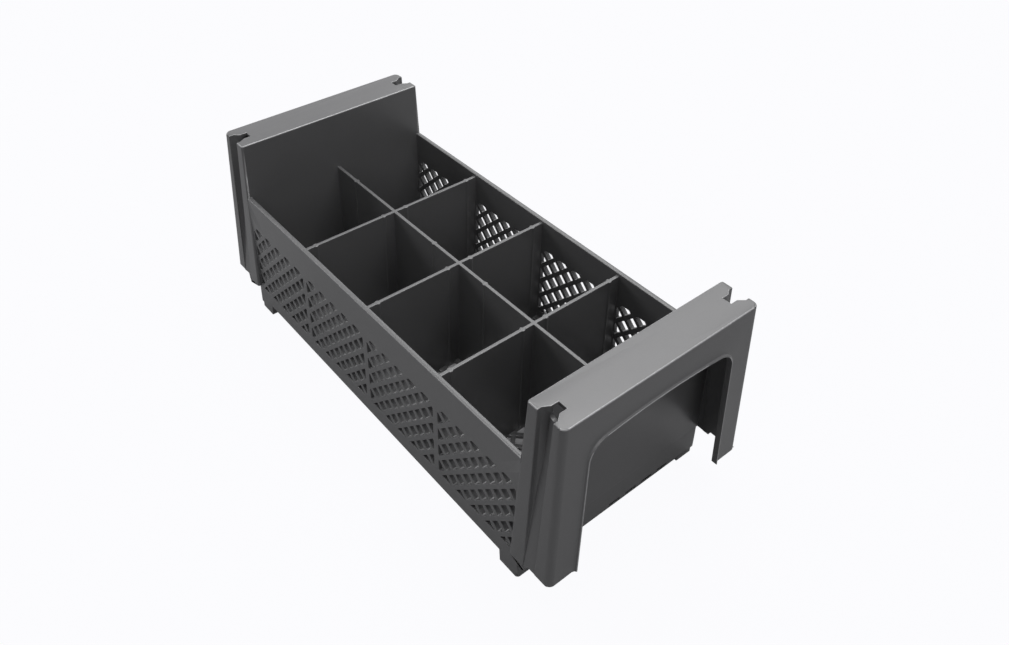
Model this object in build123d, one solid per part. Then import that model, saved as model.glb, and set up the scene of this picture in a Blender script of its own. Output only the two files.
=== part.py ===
from build123d import *
from math import radians, tan
import os

os.makedirs("parts", exist_ok=True)

# Cutlery basket for a commercial dishwasher, moulded in one piece.
# X runs along the length, Y across it, Z up from the floor under the feet.

# Basket body
RIM_HEIGHT = 119.1
RIM_HALF_WIDTH = 90.4
WALL_THICK = 4.0
WALL_LEAN = 0.54
WALL_BOTTOM = 10.2
FLOOR_TOP = 16.5
FLOOR_THICK = 3.0
CELL_LENGTH = 88.65
CELLS_LONG = 4

# Dividers between the cells
DIVIDER_HEIGHT = 116.5
DIVIDER_TOP_THICK = 2.8
DIVIDER_FOOT_THICK = 3.6
POST_RADIUS = 2.4
POST_SIDES = 8
POST_FROM_MIDDLE = 11.2
POST_FROM_WALL = 13.8
POST_ALONG = (32.4, 147.4)

# Diamond lattice in the long walls and in the floor
HOLE_PITCH = 16.3
HOLE_SIDE = 7.9
HOLES_ACROSS = 5
LATTICE_HALF_WIDTH = 41.6
LATTICE_BOTTOM = 24.2
LATTICE_TOP = 91.5

# Handle frames at both ends, all faces drafted outwards from the cap down
CAP_HEIGHT = 169.3
CAP_INNER = 179.1
CAP_OUTER = 210.7
CAP_HALF_WIDTH = 88.8
END_LEAN = 1.94
BACK_LEAN = 0.95
FACE_LEAN = 0.945
SIDE_LEAN = 1.87
SKIN = 3.0
CAP_EDGE_BEVEL = 1.8
FRONT_CORNER = 5.0
REAR_CORNER = 2.0
END_BOTTOM = 4.5
LEG_BOTTOM = 30.0
FLANGE_BOTTOM = 26.2
FLANGE_LENGTH = 17.0

# Arch in the outer face of a handle frame, with its flared lip
ARCH_CROWN = 149.4
ARCH_SHOULDER = 145.0
ARCH_HALF_WIDTH = 69.2
ARCH_SPREAD = 1.9
ARCH_CORNER = 19.0
LIP_WIDTH = 3.4
LIP_OUT = 1.8
LIP_RIDGE = 0.7

# Notches at the cap's ends that hook the basket to its neighbour, and the grooves below
GROOVE_START = 188.3
GROOVE_LENGTH = 13.7
GROOVE_DEPTH = 8.5
GROOVE_END = 27.0
GROOVE_END_LENGTH = 10.5
SLOT_START = 191.2
SLOT_LENGTH = 7.1
SLOT_DEPTH = 14.4
SLOT_BOTTOM = 160.0

# Feet and drain slots
FOOT_LENGTH = 19.8
FOOT_WIDTH = 19.0
FOOT_OUTER = 179.2
FOOT_SLANT = 1.2
FOOT_CORNER = 3.0
DRAIN_SLOTS = 4
DRAIN_START = -1.8
DRAIN_PITCH = 16.9
DRAIN_LENGTH = 10.5
DRAIN_HEIGHT = 2.0
DRAIN_STRIP = 0.9

CELLS_HALF = CELL_LENGTH * CELLS_LONG / 2
WALL_FOOT_Y = RIM_HALF_WIDTH - (RIM_HEIGHT - WALL_BOTTOM) * tan(radians(WALL_LEAN))
WALL_INNER_Y = RIM_HALF_WIDTH - WALL_THICK
LATTICE_MIDDLE = LATTICE_BOTTOM + HOLE_PITCH * (HOLES_ACROSS - 1) / 2


def drafted(size, lean, z):
    """A size of the handle frame at height z, from the one at the cap."""
    return size + (CAP_HEIGHT - z) * tan(radians(lean))


def diamonds(columns, rows):
    """A field of square holes stood on their corners."""
    hole = Rectangle(HOLE_SIDE, HOLE_SIDE, rotation=45)
    return [place * hole for place in GridLocations(HOLE_PITCH, HOLE_PITCH, columns, rows)]


def wall_lattice():
    """Holes of one wall panel: two fields that mesh, cut off square at its border."""
    field = Sketch() + diamonds(HOLES_ACROSS, HOLES_ACROSS)
    field += diamonds(HOLES_ACROSS + 1, HOLES_ACROSS - 1)
    height = LATTICE_TOP - LATTICE_BOTTOM
    window = Rectangle(2 * LATTICE_HALF_WIDTH, height, align=(Align.CENTER, Align.MIN))
    return field & (Pos(0, LATTICE_BOTTOM - LATTICE_MIDDLE) * window)


def long_wall():
    """The wall at -Y, drawn from outside and leaned in towards its foot."""
    height = RIM_HEIGHT - WALL_BOTTOM
    length = 2 * (CELLS_HALF + SKIN / 3)
    plate = Pos(0, -height / 2) * Rectangle(length, height)
    panel = wall_lattice()
    drop = LATTICE_MIDDLE - RIM_HEIGHT
    for place in GridLocations(CELL_LENGTH, 0, CELLS_LONG, 1):
        plate -= place * Pos(0, drop) * panel
    outside = Plane(origin=(0, -RIM_HALF_WIDTH, RIM_HEIGHT), x_dir=(1, 0, 0), z_dir=(0, -1, 0))
    wall = extrude(outside * Rot(WALL_LEAN, 0, 0) * plate, amount=-WALL_THICK)
    return wall


def floor_plate():
    """The floor with its holes, cell by cell."""
    width = 2 * (WALL_INNER_Y + WALL_THICK / 2)
    plate = Rectangle(2 * drafted(CAP_INNER + SKIN / 2, -END_LEAN, FLOOR_TOP), width)
    field = Sketch() + diamonds(HOLES_ACROSS, HOLES_ACROSS - 1)
    for place in GridLocations(CELL_LENGTH, WALL_INNER_Y, CELLS_LONG, 2):
        plate -= place * field
    return Pos(0, 0, FLOOR_TOP) * extrude(plate, amount=-FLOOR_THICK)


def divider(length):
    """An upright along X, thicker at its foot, as it leaves the mould."""
    half_top = DIVIDER_TOP_THICK / 2
    half_foot = DIVIDER_FOOT_THICK / 2
    low = FLOOR_TOP - FLOOR_THICK / 2
    right = [(half_foot, low), (half_top, DIVIDER_HEIGHT)]
    left = [(-half_top, DIVIDER_HEIGHT), (-half_foot, low)]
    section = Polygon(*right, *left, align=None)
    across = Plane(origin=(-length / 2, 0, 0), x_dir=(0, 1, 0), z_dir=(1, 0, 0))
    return extrude(across * section, amount=length)


def dividers():
    """One divider along the basket, three across it, and their posts, in few flat sides."""
    low = FLOOR_TOP - FLOOR_THICK / 2
    section = RegularPolygon(POST_RADIUS, POST_SIDES, rotation=180 / POST_SIDES)
    post = Pos(0, 0, low) * extrude(section, amount=DIVIDER_HEIGHT - low)
    parts = divider(2 * CELLS_HALF)
    for x in POST_ALONG:
        parts += [Pos(x, 0) * post, Pos(-x, 0) * post]
    across = Rot(0, 0, 90) * divider(2 * (WALL_INNER_Y + WALL_THICK / 3))
    for y in (POST_FROM_MIDDLE, RIM_HALF_WIDTH - POST_FROM_WALL):
        across += [Pos(0, y) * post, Pos(0, -y) * post]
    for place in GridLocations(CELL_LENGTH, 0, CELLS_LONG - 1, 1):
        parts += place * across
    return parts


def crossed(side, front):
    """Block with leaning flat faces: a profile seen from the side, crossed with one seen from the end."""
    reach = 2 * CAP_OUTER
    along = extrude(Plane.XZ * Polygon(*side, align=None), amount=reach, both=True)
    across = extrude(Plane.YZ * Polygon(*front, align=None), amount=reach, both=True)
    return along & across


def drafted_block(low, high, inset):
    """Handle frame between two heights, or with an inset its hollow."""
    side = []
    front = []
    for z in (low, high):
        inner = drafted(CAP_INNER + inset, -(BACK_LEAN if inset else END_LEAN), z)
        outer = drafted(CAP_OUTER - inset, FACE_LEAN, z)
        half = drafted(CAP_HALF_WIDTH - inset, SIDE_LEAN, z)
        side += [(inner, z), (outer, z)]
        front += [(-half, z), (half, z)]
    order = (0, 1, 3, 2)
    return crossed([side[i] for i in order], [front[i] for i in order])


def frame_block():
    """A handle frame as a full block, its upright corners rounded and its top edges bevelled."""
    block = drafted_block(END_BOTTOM, CAP_HEIGHT, 0)
    tall = block.edges().filter_by(lambda edge: edge.bounding_box().size.Z > CAP_HEIGHT / 2)
    block = fillet(tall.sort_by(Axis.X)[:2], REAR_CORNER)
    tall = block.edges().filter_by(lambda edge: edge.bounding_box().size.Z > CAP_HEIGHT / 2)
    block = fillet(tall.sort_by(Axis.X)[-2:], FRONT_CORNER)
    return chamfer(block.faces().sort_by(Axis.Z)[-1].edges(), CAP_EDGE_BEVEL)


def frame_hollow():
    """The hollow behind the arch, open downwards."""
    return drafted_block(END_BOTTOM - 1, CAP_HEIGHT - SKIN, SKIN)


def arch(inset):
    """The arch's outline on the outer face, its legs spreading downwards."""
    low = -(CAP_HEIGHT - LEG_BOTTOM / 2)
    crown = ARCH_CROWN - CAP_HEIGHT - inset
    shoulder = ARCH_SHOULDER - CAP_HEIGHT - inset
    half = ARCH_HALF_WIDTH - inset
    spread = half + (shoulder - low) * tan(radians(ARCH_SPREAD))
    curve = ThreePointArc((-half, shoulder), (0, crown), (half, shoulder))
    sides = Polyline((half, shoulder), (spread, low), (-spread, low), (-half, shoulder))
    outline = make_face(Curve() + [curve, sides])
    return fillet(outline.vertices().sort_by(Axis.Y)[-2:], ARCH_CORNER - inset)


def outer_face():
    """Plane on the leaning outer face, its origin at the cap's edge."""
    lean = radians(FACE_LEAN)
    return Plane(origin=(CAP_OUTER, 0, CAP_HEIGHT), x_dir=(0, 1, 0), z_dir=(1, 0, tan(lean)))


def lip():
    """Flared lip round the arch, a solid plug until the arch is cut."""
    face = outer_face()
    foot = face.offset(-SKIN / 2) * arch(0)
    start = face * arch(0)
    bend = face.offset(LIP_OUT / 3) * arch((LIP_WIDTH - LIP_RIDGE) * 0.65)
    ridge = face.offset(LIP_OUT) * arch(LIP_WIDTH - LIP_RIDGE)
    return loft([foot, start], ruled=True) + loft([start, bend, ridge], ruled=True)


def groove_cut(grow):
    """Tapered groove in a frame's side, from the cap down to where it runs out above the leg's foot."""
    low = GROOVE_END - 2 * grow
    reach = 20.0
    deep_y = CAP_HALF_WIDTH - GROOVE_DEPTH - grow
    end_y = drafted(CAP_HALF_WIDTH, SIDE_LEAN, low) - grow
    corner = (Align.MIN, Align.MIN)
    high = Rectangle(GROOVE_LENGTH + 2 * grow, reach, align=corner)
    deep = Rectangle(GROOVE_END_LENGTH + 2 * grow, reach, align=corner)
    start = GROOVE_START - grow
    return loft([Pos(start, end_y, low) * deep, Pos(start, deep_y, CAP_HEIGHT + 1) * high], ruled=True)


def slot_cut():
    """Narrow slot through the cap and the groove's back at -Y, with a round bottom."""
    radius = SLOT_LENGTH / 2
    middle = Pos(SLOT_START + radius, SLOT_BOTTOM + radius)
    upright = Rectangle(SLOT_LENGTH, CAP_HEIGHT - SLOT_BOTTOM, align=(Align.CENTER, Align.MIN))
    profile = middle * Circle(radius) + middle * upright
    back = Plane.XZ.offset(CAP_HALF_WIDTH - SLOT_DEPTH)
    return extrude(back * profile, amount=2 * SLOT_DEPTH)


def leg_trim():
    """What is taken off below the legs, beside and in front of the end wall."""
    rear = drafted(CAP_INNER, -END_LEAN, 0) - SKIN
    step = rear + SKIN + FLANGE_LENGTH
    far = drafted(CAP_OUTER, FACE_LEAN, 0) + 3 * LIP_OUT
    line = [(rear, END_BOTTOM - 5), (rear, FLANGE_BOTTOM), (step, FLANGE_BOTTOM)]
    line += [(step + 2, LEG_BOTTOM), (far, LEG_BOTTOM), (far, END_BOTTOM - 5)]
    below = extrude(Plane.XZ * Polygon(*line, align=None), amount=2 * CAP_HALF_WIDTH, both=True)
    wall = drafted(CAP_INNER + SKIN, -BACK_LEAN, FLANGE_BOTTOM / 2)
    keep = Box(wall, 2 * WALL_FOOT_Y, 2 * LEG_BOTTOM, align=(Align.MIN, Align.CENTER, Align.CENTER))
    return below - keep


def both_sides(shape):
    """A sub-part and its mirror image on the frame's other side."""
    return [shape, mirror(shape, about=Plane.XZ)]


def drain_slots():
    """Row of slots through an end wall, just over its lower edge."""
    slot = Box(4 * SKIN, DRAIN_LENGTH, DRAIN_HEIGHT, align=(Align.CENTER, Align.MIN, Align.MIN))
    x = drafted(CAP_INNER, -END_LEAN, END_BOTTOM) + SKIN
    slot = Pos(x, DRAIN_START, END_BOTTOM + DRAIN_STRIP) * slot
    return [Pos(0, DRAIN_PITCH * i) * slot for i in range(DRAIN_SLOTS)]


def handle_frame():
    """Handle frame at +X: end wall, cap, legs, arch, grooves and notches."""
    block = frame_block()
    shell = block - frame_hollow()
    shell += both_sides(groove_cut(SKIN) & block) + [lip()]
    shell -= both_sides(groove_cut(0)) + both_sides(slot_cut())
    opening = outer_face().offset(-3 * SKIN) * arch(LIP_WIDTH)
    shell -= extrude(opening, amount=3 * SKIN + 2 * LIP_OUT)
    return shell - leg_trim()


def foot_block(high, inset):
    """A corner foot up to a height, its two inner sides slanting, or with an inset its hollow."""
    profiles = []
    for outer, length in ((FOOT_OUTER, FOOT_LENGTH), (WALL_FOOT_Y, FOOT_WIDTH)):
        inner = outer - length + inset
        outer -= inset
        profiles.append([(inner + FOOT_SLANT, 0), (outer, 0), (outer, high), (inner, high)])
    return crossed(*profiles)


def foot():
    """Hollow foot under one corner, open downwards."""
    high = FLOOR_TOP - FLOOR_THICK / 2
    outside = foot_block(high, 0)
    outside = fillet(outside.edges().filter_by(Axis.Z), FOOT_CORNER)
    return outside - foot_block(high - FLOOR_THICK / 2, SKIN)


def basket():
    """The whole moulding."""
    wall = long_wall()
    parts = [mirror(wall, about=Plane.XZ), floor_plate(), dividers()]
    for side in (handle_frame(),) + tuple(both_sides(foot())):
        parts += [side, mirror(side, about=Plane.YZ)]
    slots = drain_slots()
    slots += [mirror(slot, about=Plane.YZ) for slot in slots]
    return (wall + parts) - slots


part = basket()
export_step(part, "parts/cutlery_basket.step")
print("cutlery_basket", len(part.solids()), part.is_valid, round(part.volume), part.bounding_box())
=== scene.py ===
import math

import bmesh
import bpy
from mathutils import Matrix, Vector


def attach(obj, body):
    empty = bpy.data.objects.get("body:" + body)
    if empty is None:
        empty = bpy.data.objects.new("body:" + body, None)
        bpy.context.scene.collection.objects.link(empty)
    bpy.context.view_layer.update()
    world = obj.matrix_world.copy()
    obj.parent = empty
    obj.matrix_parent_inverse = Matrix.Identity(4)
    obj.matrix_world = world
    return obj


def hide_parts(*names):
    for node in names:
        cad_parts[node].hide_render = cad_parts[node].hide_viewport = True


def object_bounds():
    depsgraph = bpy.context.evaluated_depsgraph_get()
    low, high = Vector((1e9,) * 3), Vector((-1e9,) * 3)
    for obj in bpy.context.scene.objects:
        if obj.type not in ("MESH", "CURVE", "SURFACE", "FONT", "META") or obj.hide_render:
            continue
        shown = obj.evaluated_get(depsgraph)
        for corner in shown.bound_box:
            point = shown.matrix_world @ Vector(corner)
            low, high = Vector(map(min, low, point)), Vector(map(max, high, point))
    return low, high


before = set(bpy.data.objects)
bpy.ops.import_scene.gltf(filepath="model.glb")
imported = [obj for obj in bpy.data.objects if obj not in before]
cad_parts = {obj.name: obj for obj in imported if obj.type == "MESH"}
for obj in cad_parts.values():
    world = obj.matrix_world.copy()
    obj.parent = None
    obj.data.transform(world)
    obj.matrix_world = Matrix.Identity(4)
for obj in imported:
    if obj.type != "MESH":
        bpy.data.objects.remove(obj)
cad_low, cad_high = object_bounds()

MM = 0.001

# Sizes of the moulding in millimetres, as the solid has them
CELL_LENGTH = 88.65
CELL_MIDDLE_Y = 43.2
CELL_COLUMNS = (-1.5, -0.5, 0.5, 1.5)
HOLE_PITCH = 16.3
HOLE_SIDE = 7.9
SOLID_COLUMNS, SOLID_ROWS = 4, 3
FLOOR_TOP = 16.5
FLOOR_THICK = 3.0
DIVIDER_SIDE = 1.9
RIM_HEIGHT = 119.1
CAP_HEIGHT = 169.3
CAP_BEVEL_SOLID = 1.8
CAP_FACE_X = 210.7
LIP_SIDE_Y = 82.0
LIP_RIM_OUT = 1.2
WALL_SIDE_Y = 85.2
END_SIDE_X = 173.8
FRAME_REAR_X = 182.0
FRAME_SIDE_Y = 88.5
LOW_CORNER_TOP = 27.0

# Small roundings that the mould leaves, in millimetres
CAP_BEVEL = 0.8
PLAIN_EDGE = 0.35
RIM_EDGE = 0.6
HOLE_CORNER = 0.7
GROOVE_EDGE = 0.8
ROUNDING_STEPS = 2
SHORTEST_EDGE = 0.3
LONG_EDGE = 20.0

# Angles in degrees below which faces blend, on the whole and at the arch lips
SMOOTH_ANGLE = 50.0
LIP_FOLD = 24.0

# Distances in millimetres within which points are joined or count as level
JOIN_LOOSE = 0.002
JOIN_CUT = 0.006
SAME_LEVEL = 0.06

# How much the rounded edges are rubbed pale, and how strong a highlight is painted along the crests
# of the caps and arch lips
EDGE_WEAR = 0.35
CREST_PAINTED_HIGHLIGHT = 2.0

# The camera that took the photograph, in metres and degrees
CAMERA_PLACE = (0.47278, -0.36601, 0.59060)
CAMERA_AZIMUTH = -39.16
CAMERA_ELEVATION = 32.35
CAMERA_ROLL = 0.64
PHOTO_WIDTH, PHOTO_HEIGHT = 1009, 645
FOCAL_PIXELS = 966.28
AXIS_PIXEL = (478.93, 160.0)

# Floor, world and lamps: place and size in metres, power in watts
FLOOR_PAINT = 0.29
FLOOR_WHITE = 0.955
FLOOR_IN_GLOSS = 0.15
FLOOR_SIZE = 8.0
FLOOR_DROP = 0.0002
# Painted shade on the floor: half length and half width in metres of the rectangle under the basket,
# how much of the white it takes away, and how sharp its border is
SHADE_LENGTH, SHADE_WIDTH = 0.165, 0.082
SHADE_DEPTH = 0.95
SHADE_SHARPNESS = 60.0
WORLD_LIGHT = 0.10
LAMP_AIM = (0, 0, 0.08)
SOFTBOXES = (
    ("overhead_softbox", (0.0, 0.3, 2.6), (2.4, 2.4), 78.0),
    ("back_softbox", (-1.1, 1.6, 2.3), (1.8, 1.8), 24.0),
    ("front_softbox", (2.6, -0.6, 1.3), (1.6, 1.6), 13.0),
    ("left_softbox", (-1.0, -1.0, 0.6), (0.5, 0.5), 4.5),
)


# Selecting, joining and cleaning
def deselect():
    if bpy.context.object and bpy.context.object.mode != "OBJECT":
        bpy.ops.object.mode_set(mode="OBJECT")
    bpy.ops.object.select_all(action="DESELECT")


def activate(piece):
    deselect()
    piece.select_set(True)
    bpy.context.view_layer.objects.active = piece


def join(pieces):
    """Makes one mesh of several, and gives it back."""
    deselect()
    for piece in pieces:
        piece.select_set(True)
    bpy.context.view_layer.objects.active = pieces[0]
    bpy.ops.object.join()
    return pieces[0]


def apply_modifiers(piece):
    activate(piece)
    for modifier in list(piece.modifiers):
        bpy.ops.object.modifier_apply(modifier=modifier.name)


def merge_points(piece, distance):
    """Joins points closer than a distance in millimetres, and drops faces with no area."""
    activate(piece)
    bpy.ops.object.mode_set(mode="EDIT")
    bpy.ops.mesh.select_all(action="SELECT")
    bpy.ops.mesh.remove_doubles(threshold=distance * MM)
    bpy.ops.mesh.dissolve_degenerate(threshold=distance * MM)
    bpy.ops.object.mode_set(mode="OBJECT")


# The camera
def photo_camera():
    """The camera at the photograph's place, with its picture shifted as that one is cropped."""
    azimuth = math.radians(CAMERA_AZIMUTH)
    elevation = math.radians(CAMERA_ELEVATION)
    roll = math.radians(CAMERA_ROLL)
    level = math.cos(elevation)
    back = Vector((level * math.cos(azimuth), level * math.sin(azimuth), math.sin(elevation)))
    right = Vector((-math.sin(azimuth), math.cos(azimuth), 0))
    up = back.cross(right)
    turned_right = math.cos(roll) * right + math.sin(roll) * up
    turned_up = math.cos(roll) * up - math.sin(roll) * right
    bpy.ops.object.camera_add(location=CAMERA_PLACE)
    camera = bpy.context.object
    camera.name = "photo_camera"
    camera.rotation_euler = Matrix((turned_right, turned_up, back)).transposed().to_euler()
    camera.data.sensor_width = 36.0
    camera.data.lens = camera.data.sensor_width * FOCAL_PIXELS / PHOTO_WIDTH
    camera.data.shift_x = (PHOTO_WIDTH / 2 - AXIS_PIXEL[0]) / PHOTO_WIDTH
    camera.data.shift_y = (AXIS_PIXEL[1] - PHOTO_HEIGHT / 2) / PHOTO_WIDTH
    camera.data.clip_start = 0.01
    bpy.context.scene.camera = camera


# Finishes
class Wire:
    """A number or colour on its way through a material: arithmetic on it adds Math nodes."""

    def __init__(self, finish, socket):
        self.finish = finish
        self.socket = socket

    def math(self, operation, *values):
        sockets = dict(enumerate((self,) + values))
        return self.finish.node("ShaderNodeMath", {"operation": operation}, sockets)

    def __add__(self, other):
        return self.math("ADD", other)

    def __mul__(self, other):
        return self.math("MULTIPLY", other)

    def __sub__(self, other):
        return self.math("SUBTRACT", other)

    def __rsub__(self, other):
        return self.finish.node("ShaderNodeMath", {"operation": "SUBTRACT"}, {0: other, 1: self})

    __radd__ = __add__
    __rmul__ = __mul__

    def clipped(self):
        return self.math("MINIMUM", 1.0).math("MAXIMUM", 0.0)


def find_socket(sockets, key):
    """A node's socket by its number, or by its identifier, or else by its name."""
    if isinstance(key, int):
        return sockets[key]
    return next((socket for socket in sockets if socket.identifier == key), None) or sockets[key]


class Finish:
    """A material or a world, built node by node."""

    def __init__(self, owner):
        self.owner = owner
        owner.use_nodes = True
        self.tree = owner.node_tree
        self.tree.nodes.clear()

    def node(self, kind, settings=None, sockets=None, output=0):
        """Adds a node with its settings, then the values or wires of its sockets."""
        made = self.tree.nodes.new(kind)
        for name, value in (settings or {}).items():
            setattr(made, name, value)
        for key, value in (sockets or {}).items():
            socket = find_socket(made.inputs, key)
            if isinstance(value, Wire):
                self.tree.links.new(value.socket, socket)
            else:
                socket.default_value = value
        return Wire(self, find_socket(made.outputs, output)) if made.outputs else None

    def place(self):
        return self.node("ShaderNodeTexCoord", output="Object")

    def noise(self, scale, detail=2.0, roughness=0.5, stretch=None):
        """Noise between 0 and 1 on the piece's own coordinates."""
        place = self.place()
        if stretch:
            place = self.node("ShaderNodeMapping", None, {"Vector": place, "Scale": stretch})
        sockets = {"Vector": place, "Scale": scale, "Detail": detail, "Roughness": roughness}
        return self.node("ShaderNodeTexNoise", None, sockets)

    def blend(self, share, first, second):
        """A colour between two others."""
        sockets = {"Factor_Float": share, "A_Color": first, "B_Color": second}
        return self.node("ShaderNodeMix", {"data_type": "RGBA"}, sockets, "Result_Color")

    def bump(self, height, strength, distance, normal=None):
        """Small relief, on top of another where one is given."""
        sockets = {"Height": height, "Strength": strength, "Distance": distance}
        if normal:
            sockets["Normal"] = normal
        return self.node("ShaderNodeBump", None, sockets)

    def surface(self, shader, kind="ShaderNodeOutputMaterial"):
        """Ends the tree with a shader, and gives back the material or world."""
        self.node(kind, None, {"Surface": shader})
        return self.owner


def grey(level):
    """A very slightly cool grey."""
    return (level, level, level * 1.02, 1.0)


def basket_plastic():
    """Dark grey polypropylene with a satin, fine-grained skin, paler where its edges are rubbed, and
    with a painted highlight along the caps' bevels and the arch lips' crests.
    """
    finish = Finish(bpy.data.materials.new("satin_polypropylene"))
    broad = finish.noise(9.0, 2.0)
    cloudy = finish.noise(55.0, 3.0, 0.6)
    flow = finish.noise(30.0, 3.0, 0.55, (0.25, 0.25, 1.0))
    grain = finish.noise(2600.0, 2.0, 0.6)
    fine = finish.noise(900.0, 2.0)
    edge_wear_and_highlight = finish.node("ShaderNodeAttribute", {"attribute_name": "edge"}, output="Fac")
    # Patchy noise that breaks up both the rubbed edges and their painted highlight
    scuff_and_highlight_noise = (finish.noise(420.0, 3.0, 0.7) - 0.42).math("MULTIPLY", 3.0).clipped()
    shade = broad * 0.5 + cloudy * 0.3 + flow * 0.2
    colour = finish.blend(shade, grey(0.084), grey(0.102))
    colour = finish.blend((fine - 0.5) * 0.5 + 0.25, colour, grey(0.112))
    # Rounded edges paler where rubbed; on the caps' bevels and the lips' crests this is also the
    # first step of the painted highlight
    colour = finish.blend(edge_wear_and_highlight * (0.25 + 0.35 * scuff_and_highlight_noise), colour, grey(0.20))
    # Painted highlight: the caps' bevels and the lips' crests turn much paler, in place of a
    # reflection of the lamps
    colour = finish.blend((edge_wear_and_highlight - 1).clipped() * (0.7 + 0.3 * scuff_and_highlight_noise), colour, grey(0.36))
    rough = 0.32 + (cloudy - 0.5) * 0.08 + (fine - 0.5) * 0.06 - edge_wear_and_highlight * 0.05
    normal = finish.bump(broad + cloudy * 0.15, 0.10, 0.004)
    normal = finish.bump(grain * 0.6 + fine * 0.4, 0.16, 0.0002, normal)
    skin = {"Base Color": colour, "Roughness": rough, "Normal": normal}
    skin.update({"Specular IOR Level": 0.5, "IOR": 1.49})
    return finish.surface(finish.node("ShaderNodeBsdfPrincipled", None, skin))


# The floor's second field of diamonds
def is_in_solid(column, row):
    """True for the floor holes that the solid already has."""
    in_rows = row % 2 == 1 and abs(row) <= SOLID_ROWS
    return in_rows and column % 2 == 0 and abs(column) <= SOLID_COLUMNS


def diamond_prisms(middle_x, middle_y):
    """Upright four-sided prisms for one cell's missing holes, joined into one mesh."""
    step = HOLE_PITCH / 2
    prisms = []
    for column in range(-5, 6):
        for row in range(-5, 6):
            if (column + row) % 2 == 0 or is_in_solid(column, row):
                continue
            place = (middle_x + column * step, middle_y + row * step, FLOOR_TOP - FLOOR_THICK / 2)
            deselect()
            bpy.ops.mesh.primitive_cylinder_add(
                vertices=4,
                radius=HOLE_SIDE * math.sqrt(0.5) * MM,
                depth=3 * FLOOR_THICK * MM,
                location=[value * MM for value in place],
            )
            prisms.append(bpy.context.object)
    return join(prisms)


def trim_to_cell(prisms, middle_x, side):
    """Cuts the prisms off square at the walls and dividers round their cell."""
    way = 1 if middle_x > 0 else -1
    low_x = abs(middle_x) - CELL_LENGTH / 2 + DIVIDER_SIDE
    high_x = min(abs(middle_x) + CELL_LENGTH / 2 - DIVIDER_SIDE, END_SIDE_X)
    planes = [((way * low_x, 0), (-way, 0)), ((way * high_x, 0), (way, 0))]
    planes += [((0, side * DIVIDER_SIDE), (0, -side)), ((0, side * WALL_SIDE_Y), (0, side))]
    activate(prisms)
    bpy.ops.object.transform_apply(location=True, rotation=True, scale=True)
    bpy.ops.object.mode_set(mode="EDIT")
    for (x, y), (out_x, out_y) in planes:
        bpy.ops.mesh.select_all(action="SELECT")
        bpy.ops.mesh.bisect(
            plane_co=(x * MM, y * MM, 0),
            plane_no=(out_x, out_y, 0),
            use_fill=True,
            clear_outer=True,
        )
    bpy.ops.object.mode_set(mode="OBJECT")


def floor_cutter():
    """One mesh of all the prisms that open the rest of the floor's diamonds."""
    cells = []
    for column in CELL_COLUMNS:
        for side in (-1, 1):
            prisms = diamond_prisms(column * CELL_LENGTH, side * CELL_MIDDLE_Y)
            trim_to_cell(prisms, column * CELL_LENGTH, side)
            cells.append(prisms)
    cutter = join(cells)
    cutter.name = "floor_cutter"
    activate(cutter)
    bpy.ops.object.mode_set(mode="EDIT")
    bpy.ops.mesh.select_all(action="SELECT")
    bpy.ops.mesh.normals_make_consistent(inside=False)
    bpy.ops.object.mode_set(mode="OBJECT")
    return cutter


def cut_floor(piece):
    """Opens the holes, and cleans the cut."""
    cutter = floor_cutter()
    modifier = piece.modifiers.new("floor_holes", "BOOLEAN")
    modifier.operation = "DIFFERENCE"
    modifier.solver = "MANIFOLD"
    modifier.object = cutter
    apply_modifiers(piece)
    bpy.data.objects.remove(cutter)
    merge_points(piece, JOIN_CUT)


# The basket itself
def edge_round(edge):
    """How far the mould rounds a corner, in millimetres, by where it lies on the basket."""
    first, last = (vertex.co / MM for vertex in edge.verts)
    if edge.calc_face_angle() < math.radians(SMOOTH_ANGLE) or (last - first).length < SHORTEST_EDGE:
        return 0.0
    x, y, z = (abs(value) for value in (first + last) / 2)
    along, across, up = (abs(value) > 0.9 for value in (last - first).normalized())
    at_wall = y > WALL_SIDE_Y and x < 2 * CELL_LENGTH
    at_floor = abs(z - FLOOR_TOP + FLOOR_THICK / 2) < FLOOR_THICK / 2 + 0.5 and x < END_SIDE_X
    if z < LOW_CORNER_TOP and y > WALL_SIDE_Y and x > END_SIDE_X:
        return 0.0
    if (at_wall and across and z < RIM_HEIGHT - 5) or (at_floor and up):
        return HOLE_CORNER
    if up and x > FRAME_REAR_X and y > FRAME_SIDE_Y and edge.is_convex:
        return GROOVE_EDGE
    if at_wall and along and z > RIM_HEIGHT - 1:
        return RIM_EDGE
    return PLAIN_EDGE


def is_at_height(point, height):
    """True for a point within a hair of a height in millimetres."""
    return abs(point.co.z / MM - height) < SAME_LEVEL


def crisp_caps(piece):
    """Narrows the bevel round each cap's top, which the mould leaves tighter than the solid."""
    share = 1 - CAP_BEVEL / CAP_BEVEL_SOLID
    grid = bmesh.new()
    grid.from_mesh(piece.data)
    moves = {}
    for vertex in grid.verts:
        beside = [edge.other_vert(vertex) for edge in vertex.link_edges]
        down = [point for point in beside if is_at_height(point, CAP_HEIGHT - CAP_BEVEL_SOLID)]
        if not down or not is_at_height(vertex, CAP_HEIGHT):
            continue
        foot = min(down, key=lambda point: (point.co - vertex.co).length)
        across = foot.co - vertex.co
        moves[vertex] = Vector((across.x, across.y, 0)) * share
        moves[foot] = Vector((0, 0, -across.z)) * share
    for vertex, step in moves.items():
        vertex.co += step
    grid.to_mesh(piece.data)
    grid.free()


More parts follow.
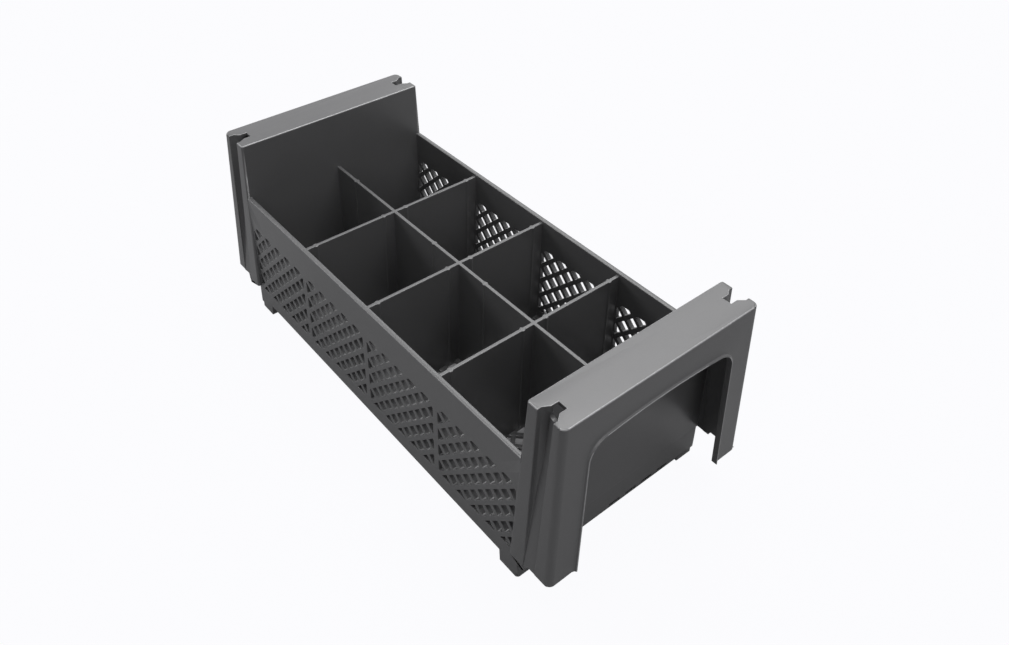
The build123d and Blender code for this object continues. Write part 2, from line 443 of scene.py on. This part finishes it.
def soften_edges(piece):
    """Rounds the corners that the mould leaves slightly round, as faces of the second slot."""
    mesh = piece.data
    grid = bmesh.new()
    grid.from_mesh(mesh)
    weights = grid.edges.layers.float.new("bevel_weight_edge")
    for edge in grid.edges:
        edge[weights] = edge_round(edge) / GROOVE_EDGE
    grid.to_mesh(mesh)
    grid.free()
    modifier = piece.modifiers.new("soft_edges", "BEVEL")
    modifier.limit_method = "WEIGHT"
    modifier.width = GROOVE_EDGE * MM
    modifier.segments = ROUNDING_STEPS
    modifier.use_clamp_overlap = False
    modifier.material = 1
    apply_modifiers(piece)


def is_crease(edge):
    """True for the long edges of the caps' bevels and for the folds of the arch lips."""
    first, last = (vertex.co / MM for vertex in edge.verts)
    if abs(first.x) < END_SIDE_X or not edge.is_manifold:
        return False
    level = abs(first.z - last.z) < SAME_LEVEL and (last - first).length > LONG_EDGE
    heights = (CAP_HEIGHT, CAP_HEIGHT - CAP_BEVEL)
    at_bevel = any(is_at_height(edge.verts[0], height) for height in heights)
    at_lip = min(abs(first.x), abs(last.x)) > CAP_FACE_X - 0.1 and abs(first.y) < LIP_SIDE_Y
    return (level and at_bevel) or (at_lip and edge.calc_face_angle() > math.radians(LIP_FOLD))


def mark_creases(piece):
    """Keeps the creases crisp in the shading."""
    grid = bmesh.new()
    grid.from_mesh(piece.data)
    for edge in grid.edges:
        if is_crease(edge):
            edge.smooth = False
    grid.to_mesh(piece.data)
    grid.free()


def keep_inside(piece):
    """Holds every point inside the solid's own box, also where roundings meet."""
    for vertex in piece.data.vertices:
        limits = zip(vertex.co, cad_low, cad_high)
        vertex.co = [min(max(value, least), most) for value, least, most in limits]


def even_normals(piece):
    """Lets the flat faces keep their own direction beside the rounded corners."""
    activate(piece)
    bpy.ops.object.shade_smooth_by_angle(angle=math.radians(SMOOTH_ANGLE))
    mark_creases(piece)
    modifier = piece.modifiers.new("even_normals", "WEIGHTED_NORMAL")
    modifier.mode = "FACE_AREA"
    modifier.weight = 50
    modifier.keep_sharp = True
    apply_modifiers(piece)


def is_cap_bevel(mesh, face):
    """True for the narrow slanting faces round the top of each cap, where a highlight is painted."""
    low = min(mesh.vertices[index].co.z for index in face.vertices)
    return low > (CAP_HEIGHT - CAP_BEVEL - 0.1) * MM and 0.3 < face.normal.z < 0.95


def is_lip_crest(mesh, face):
    """True for the small rounding along the arch lips' rims, where it doesn't face down, and where a
    highlight is painted.
    """
    low = min(abs(mesh.vertices[index].co.x) for index in face.vertices)
    at_rim = low > (CAP_FACE_X + LIP_RIM_OUT) * MM and abs(face.center.y) < LIP_SIDE_Y * MM
    return at_rim and face.normal.z > -0.2


def mark_edges(piece):
    """Keeps how much each rounded edge is rubbed, and where a highlight is painted on the caps'
    bevels and the arch lips' crests, as the attribute that the plastic's rubbed edges and painted
    highlight follow.
    """
    mesh = piece.data
    values = [0.0] * len(mesh.loops)
    for face in mesh.polygons:
        wear_and_highlight = EDGE_WEAR * face.material_index
        # The caps' bevels and the lips' crests get a painted highlight in place of rubbed edges
        if is_cap_bevel(mesh, face) or (wear_and_highlight and is_lip_crest(mesh, face)):
            wear_and_highlight = CREST_PAINTED_HIGHLIGHT
        for corner in face.loop_indices:
            values[corner] = wear_and_highlight
        face.material_index = 0
    edge = mesh.attributes.new("edge", "FLOAT", "CORNER")
    edge.data.foreach_set("value", values)


def basket():
    """The moulding, as a dressed copy that replaces the plain solid."""
    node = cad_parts["cutlery_basket"]
    piece = bpy.data.objects.new("basket_moulding", node.data.copy())
    bpy.context.scene.collection.objects.link(piece)
    merge_points(piece, JOIN_LOOSE)
    cut_floor(piece)
    crisp_caps(piece)
    piece.data.materials.clear()
    piece.data.materials.append(basket_plastic())
    piece.data.materials.append(piece.data.materials[0])
    soften_edges(piece)
    keep_inside(piece)
    mark_edges(piece)
    piece.data.materials.pop(index=1)
    even_normals(piece)
    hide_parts("cutlery_basket")
    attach(piece, "root")


# Floor, world and lamps
def white_background(finish, soft, white, seen_share, gloss_share):
    """What the camera, a mirror or glass sees of the floor or world, in place of its plain light."""
    share = finish.node("ShaderNodeLightPath", output="Is Camera Ray") * seen_share
    for ray in ("Is Glossy Ray", "Is Transmission Ray"):
        share = share.math("MAXIMUM", finish.node("ShaderNodeLightPath", output=ray) * gloss_share)
    return finish.node("ShaderNodeMixShader", None, {"Fac": share, 1: soft, 2: white})


def floor_finish():
    """Pale floor that looks nearly white and keeps the basket's shadow, with painted shade in a
    rectangle right under the basket, where less of the white is mixed in.
    """
    finish = Finish(bpy.data.materials.new("pale_floor"))
    painted_shade_masks = []
    # Painted shade: a rectangle under the basket where the white glow mostly gives way to the paint,
    # so the paint with its real shadow shows darker there
    for axis, half in (("X", SHADE_LENGTH), ("Y", SHADE_WIDTH)):
        away = finish.node("ShaderNodeSeparateXYZ", None, {"Vector": finish.place()}, axis)
        painted_shade_masks.append(((half - away.math("ABSOLUTE")) * SHADE_SHARPNESS).clipped())
    seen = FLOOR_WHITE * (1 - SHADE_DEPTH * (painted_shade_masks[0] * painted_shade_masks[1]))
    paint = finish.node("ShaderNodeBsdfDiffuse", None, {"Color": grey(FLOOR_PAINT)})
    glow = finish.node("ShaderNodeEmission", None, {"Color": grey(1.0), "Strength": 1.0})
    return finish.surface(white_background(finish, paint, glow, seen, FLOOR_IN_GLOSS))


def studio_world():
    """Soft light from all round, seen as white."""
    sky = Finish(bpy.data.worlds.new("studio_world"))
    soft = sky.node("ShaderNodeBackground", None, {"Color": grey(0.97), "Strength": WORLD_LIGHT})
    white = sky.node("ShaderNodeBackground", None, {"Color": grey(1.0), "Strength": 1.0})
    shader = white_background(sky, soft, white, 1.0, 1.0)
    bpy.context.scene.world = sky.surface(shader, "ShaderNodeOutputWorld")


def softbox(name, place, size, power):
    """A broad lamp, turned to the basket."""
    bpy.ops.object.light_add(type="AREA", location=place)
    lamp = bpy.context.object
    lamp.name = name
    lamp.data.shape = "RECTANGLE"
    lamp.data.size, lamp.data.size_y = size
    lamp.data.energy = power
    lamp.rotation_euler = (Vector(LAMP_AIM) - Vector(place)).to_track_quat("-Z", "Y").to_euler()


def studio():
    """Floor, world and lamps."""
    deselect()
    bpy.ops.mesh.primitive_plane_add(size=FLOOR_SIZE, location=(0, 0, -FLOOR_DROP))
    floor = bpy.context.object
    floor.name = "studio_floor"
    floor.data.materials.append(floor_finish())
    studio_world()
    for lamp in SOFTBOXES:
        softbox(*lamp)


photo_camera()
basket()
studio()

scene = bpy.context.scene
scene.view_settings.view_transform = "Standard"
